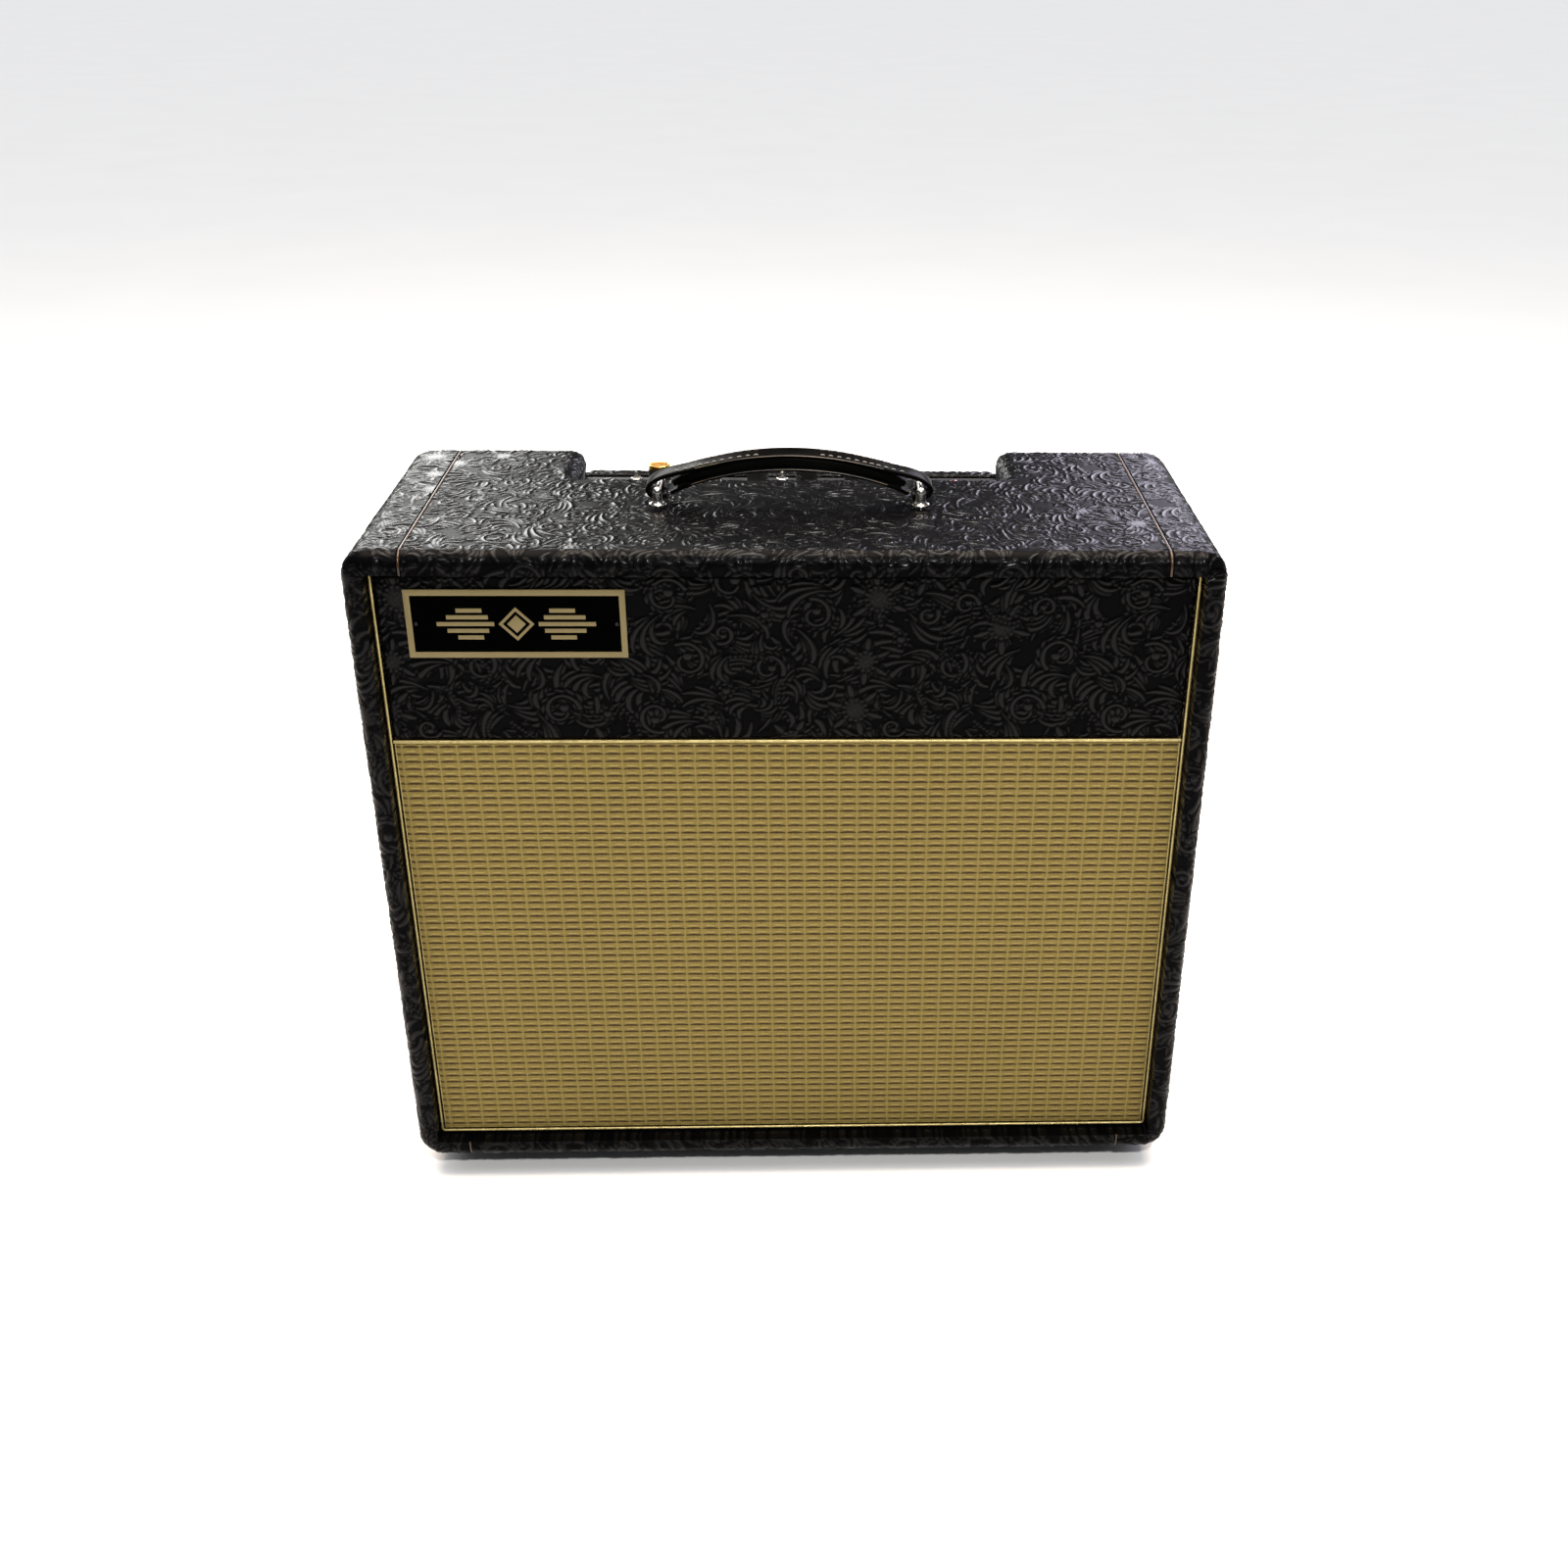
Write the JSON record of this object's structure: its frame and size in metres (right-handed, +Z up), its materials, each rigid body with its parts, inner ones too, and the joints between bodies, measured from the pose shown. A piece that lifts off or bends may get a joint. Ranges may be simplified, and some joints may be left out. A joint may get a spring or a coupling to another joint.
{
  "type": "guitar combo amplifier",
  "caption": "Guitar combo amplifier with a scroll-embossed black cabinet, gold woven grille, recessed top control panel, open back and strap handle.",
  "frame": {"origin": "on the floor under the middle of the cabinet", "axes": "+X to the right of a person facing the grille, -Y out of the grille, +Z up"},
  "size_m": [0.616, 0.261, 0.5784],
  "materials": {
    "tooled_vinyl": "satin black vinyl embossed with a tooled-leather scroll pattern",
    "grille_cloth": "woven gold cloth with dark dashes in rows",
    "gold_piping": "gold corded bead",
    "bare_ply": "bare birch plywood",
    "black_leather": "smooth stitched black leather",
    "chrome": "polished",
    "nameplate_metal": "brushed brass with a black field",
    "panel_black": "satin black enamel with pale dial ticks",
    "knob_plastic": "moulded black",
    "chassis_steel": "zinc plated",
    "black_steel": "satin black paint",
    "board_laminate": "amber laminate",
    "black_rubber": "matt",
    "valve_glass": "clear",
    "cone_paper": "felted dark grey",
    "lamp_lens": "red jewel"
  },
  "bodies": {
    "cabinet": {"top_board": "tooled_vinyl", "bottom_board": "tooled_vinyl", "left_side_board": "tooled_vinyl", "right_side_board": "tooled_vinyl", "upper_back_panel": "tooled_vinyl", "lower_back_panel": "tooled_vinyl", "fascia_board": "tooled_vinyl", "grille_cloth": "grille_cloth", "front_piping": "gold_piping", "divider_piping": "gold_piping", "left_inlay_piping": "gold_piping", "right_inlay_piping": "gold_piping", "baffle_board": "bare_ply", "grille_frame": "bare_ply", "left_handle_bracket": "chrome", "right_handle_bracket": "chrome", "bright_switch_body": "chrome", "voicing_switch_body": "chrome", "input_jack": "chrome", "speaker_jack": "chrome", "nameplate": "nameplate_metal", "control_plate": "panel_black", "power_switch_body": "knob_plastic", "standby_switch_body": "knob_plastic", "mains_inlet": "knob_plastic", "chassis_tray": "chassis_steel", "chassis_base_plate": "chassis_steel", "presence_pot": "chassis_steel", "bass_pot": "chassis_steel", "middle_pot": "chassis_steel", "treble_pot": "chassis_steel", "volume_pot": "chassis_steel", "output_transformer": "black_steel", "power_transformer": "black_steel", "speaker_basket": "black_steel", "speaker_magnet": "black_steel", "circuit_board": "board_laminate", "front_left_foot": "black_rubber", "front_right_foot": "black_rubber", "rear_left_foot": "black_rubber", "rear_right_foot": "black_rubber", "speaker_lead": "black_rubber", "left_power_valve": "valve_glass", "right_power_valve": "valve_glass", "first_preamp_valve": "valve_glass", "second_preamp_valve": "valve_glass", "third_preamp_valve": "valve_glass", "pilot_lamp": "lamp_lens"},
    "presence_control": {"presence_knob": "knob_plastic"},
    "bass_control": {"bass_knob": "knob_plastic"},
    "middle_control": {"middle_knob": "knob_plastic"},
    "treble_control": {"treble_knob": "knob_plastic"},
    "volume_control": {"volume_knob": "knob_plastic"},
    "bright_lever": {"bright_switch_lever": "chrome"},
    "voicing_lever": {"voicing_switch_lever": "chrome"},
    "power_paddle": {"power_rocker": "knob_plastic"},
    "standby_paddle": {"standby_rocker": "knob_plastic"},
    "cone": {"speaker_cone": "cone_paper"},
    "handle": {"handle_strap": "black_leather"}
  },
  "joints": [
    {"name": "presence_turn", "type": "hinge", "parent": "cabinet", "child": "presence_control", "pos_m": [-0.1043, 0.0856, 0.53], "axis": [0, 0, 1], "range_deg": [-150, 150]},
    {"name": "bass_turn", "type": "hinge", "parent": "cabinet", "child": "bass_control", "pos_m": [-0.0655, 0.0856, 0.53], "axis": [0, 0, 1], "range_deg": [-150, 150]},
    {"name": "middle_turn", "type": "hinge", "parent": "cabinet", "child": "middle_control", "pos_m": [-0.0267, 0.0856, 0.53], "axis": [0, 0, 1], "range_deg": [-150, 150]},
    {"name": "treble_turn", "type": "hinge", "parent": "cabinet", "child": "treble_control", "pos_m": [0.0121, 0.0856, 0.53], "axis": [0, 0, 1], "range_deg": [-150, 150]},
    {"name": "volume_turn", "type": "hinge", "parent": "cabinet", "child": "volume_control", "pos_m": [0.0509, 0.0856, 0.53], "axis": [0, 0, 1], "range_deg": [-150, 150]},
    {"name": "bright_flip", "type": "hinge", "parent": "cabinet", "child": "bright_lever", "pos_m": [-0.1228, 0.0856, 0.5235], "axis": [1, 0, 0], "range_deg": [-12.5, 12.5]},
    {"name": "voicing_flip", "type": "hinge", "parent": "cabinet", "child": "voicing_lever", "pos_m": [-0.0073, 0.0856, 0.5235], "axis": [1, 0, 0], "range_deg": [-12.5, 12.5]},
    {"name": "power_rock", "type": "hinge", "parent": "cabinet", "child": "power_paddle", "pos_m": [0.08, 0.0856, 0.5215], "axis": [1, 0, 0], "range_deg": [0, 18]},
    {"name": "standby_rock", "type": "hinge", "parent": "cabinet", "child": "standby_paddle", "pos_m": [0.104, 0.0856, 0.5215], "axis": [1, 0, 0], "range_deg": [0, 18]},
    {"name": "cone_stroke", "type": "slide", "parent": "cabinet", "child": "cone", "axis": [0, 1, 0], "range_m": [-0.003, 0.003], "stiffness_N_per_m": 4000},
    {"name": "handle_lift", "type": "slide", "parent": "cabinet", "child": "handle", "axis": [0, 0, 1], "range_m": [0, 0.0018]}
  ]
}
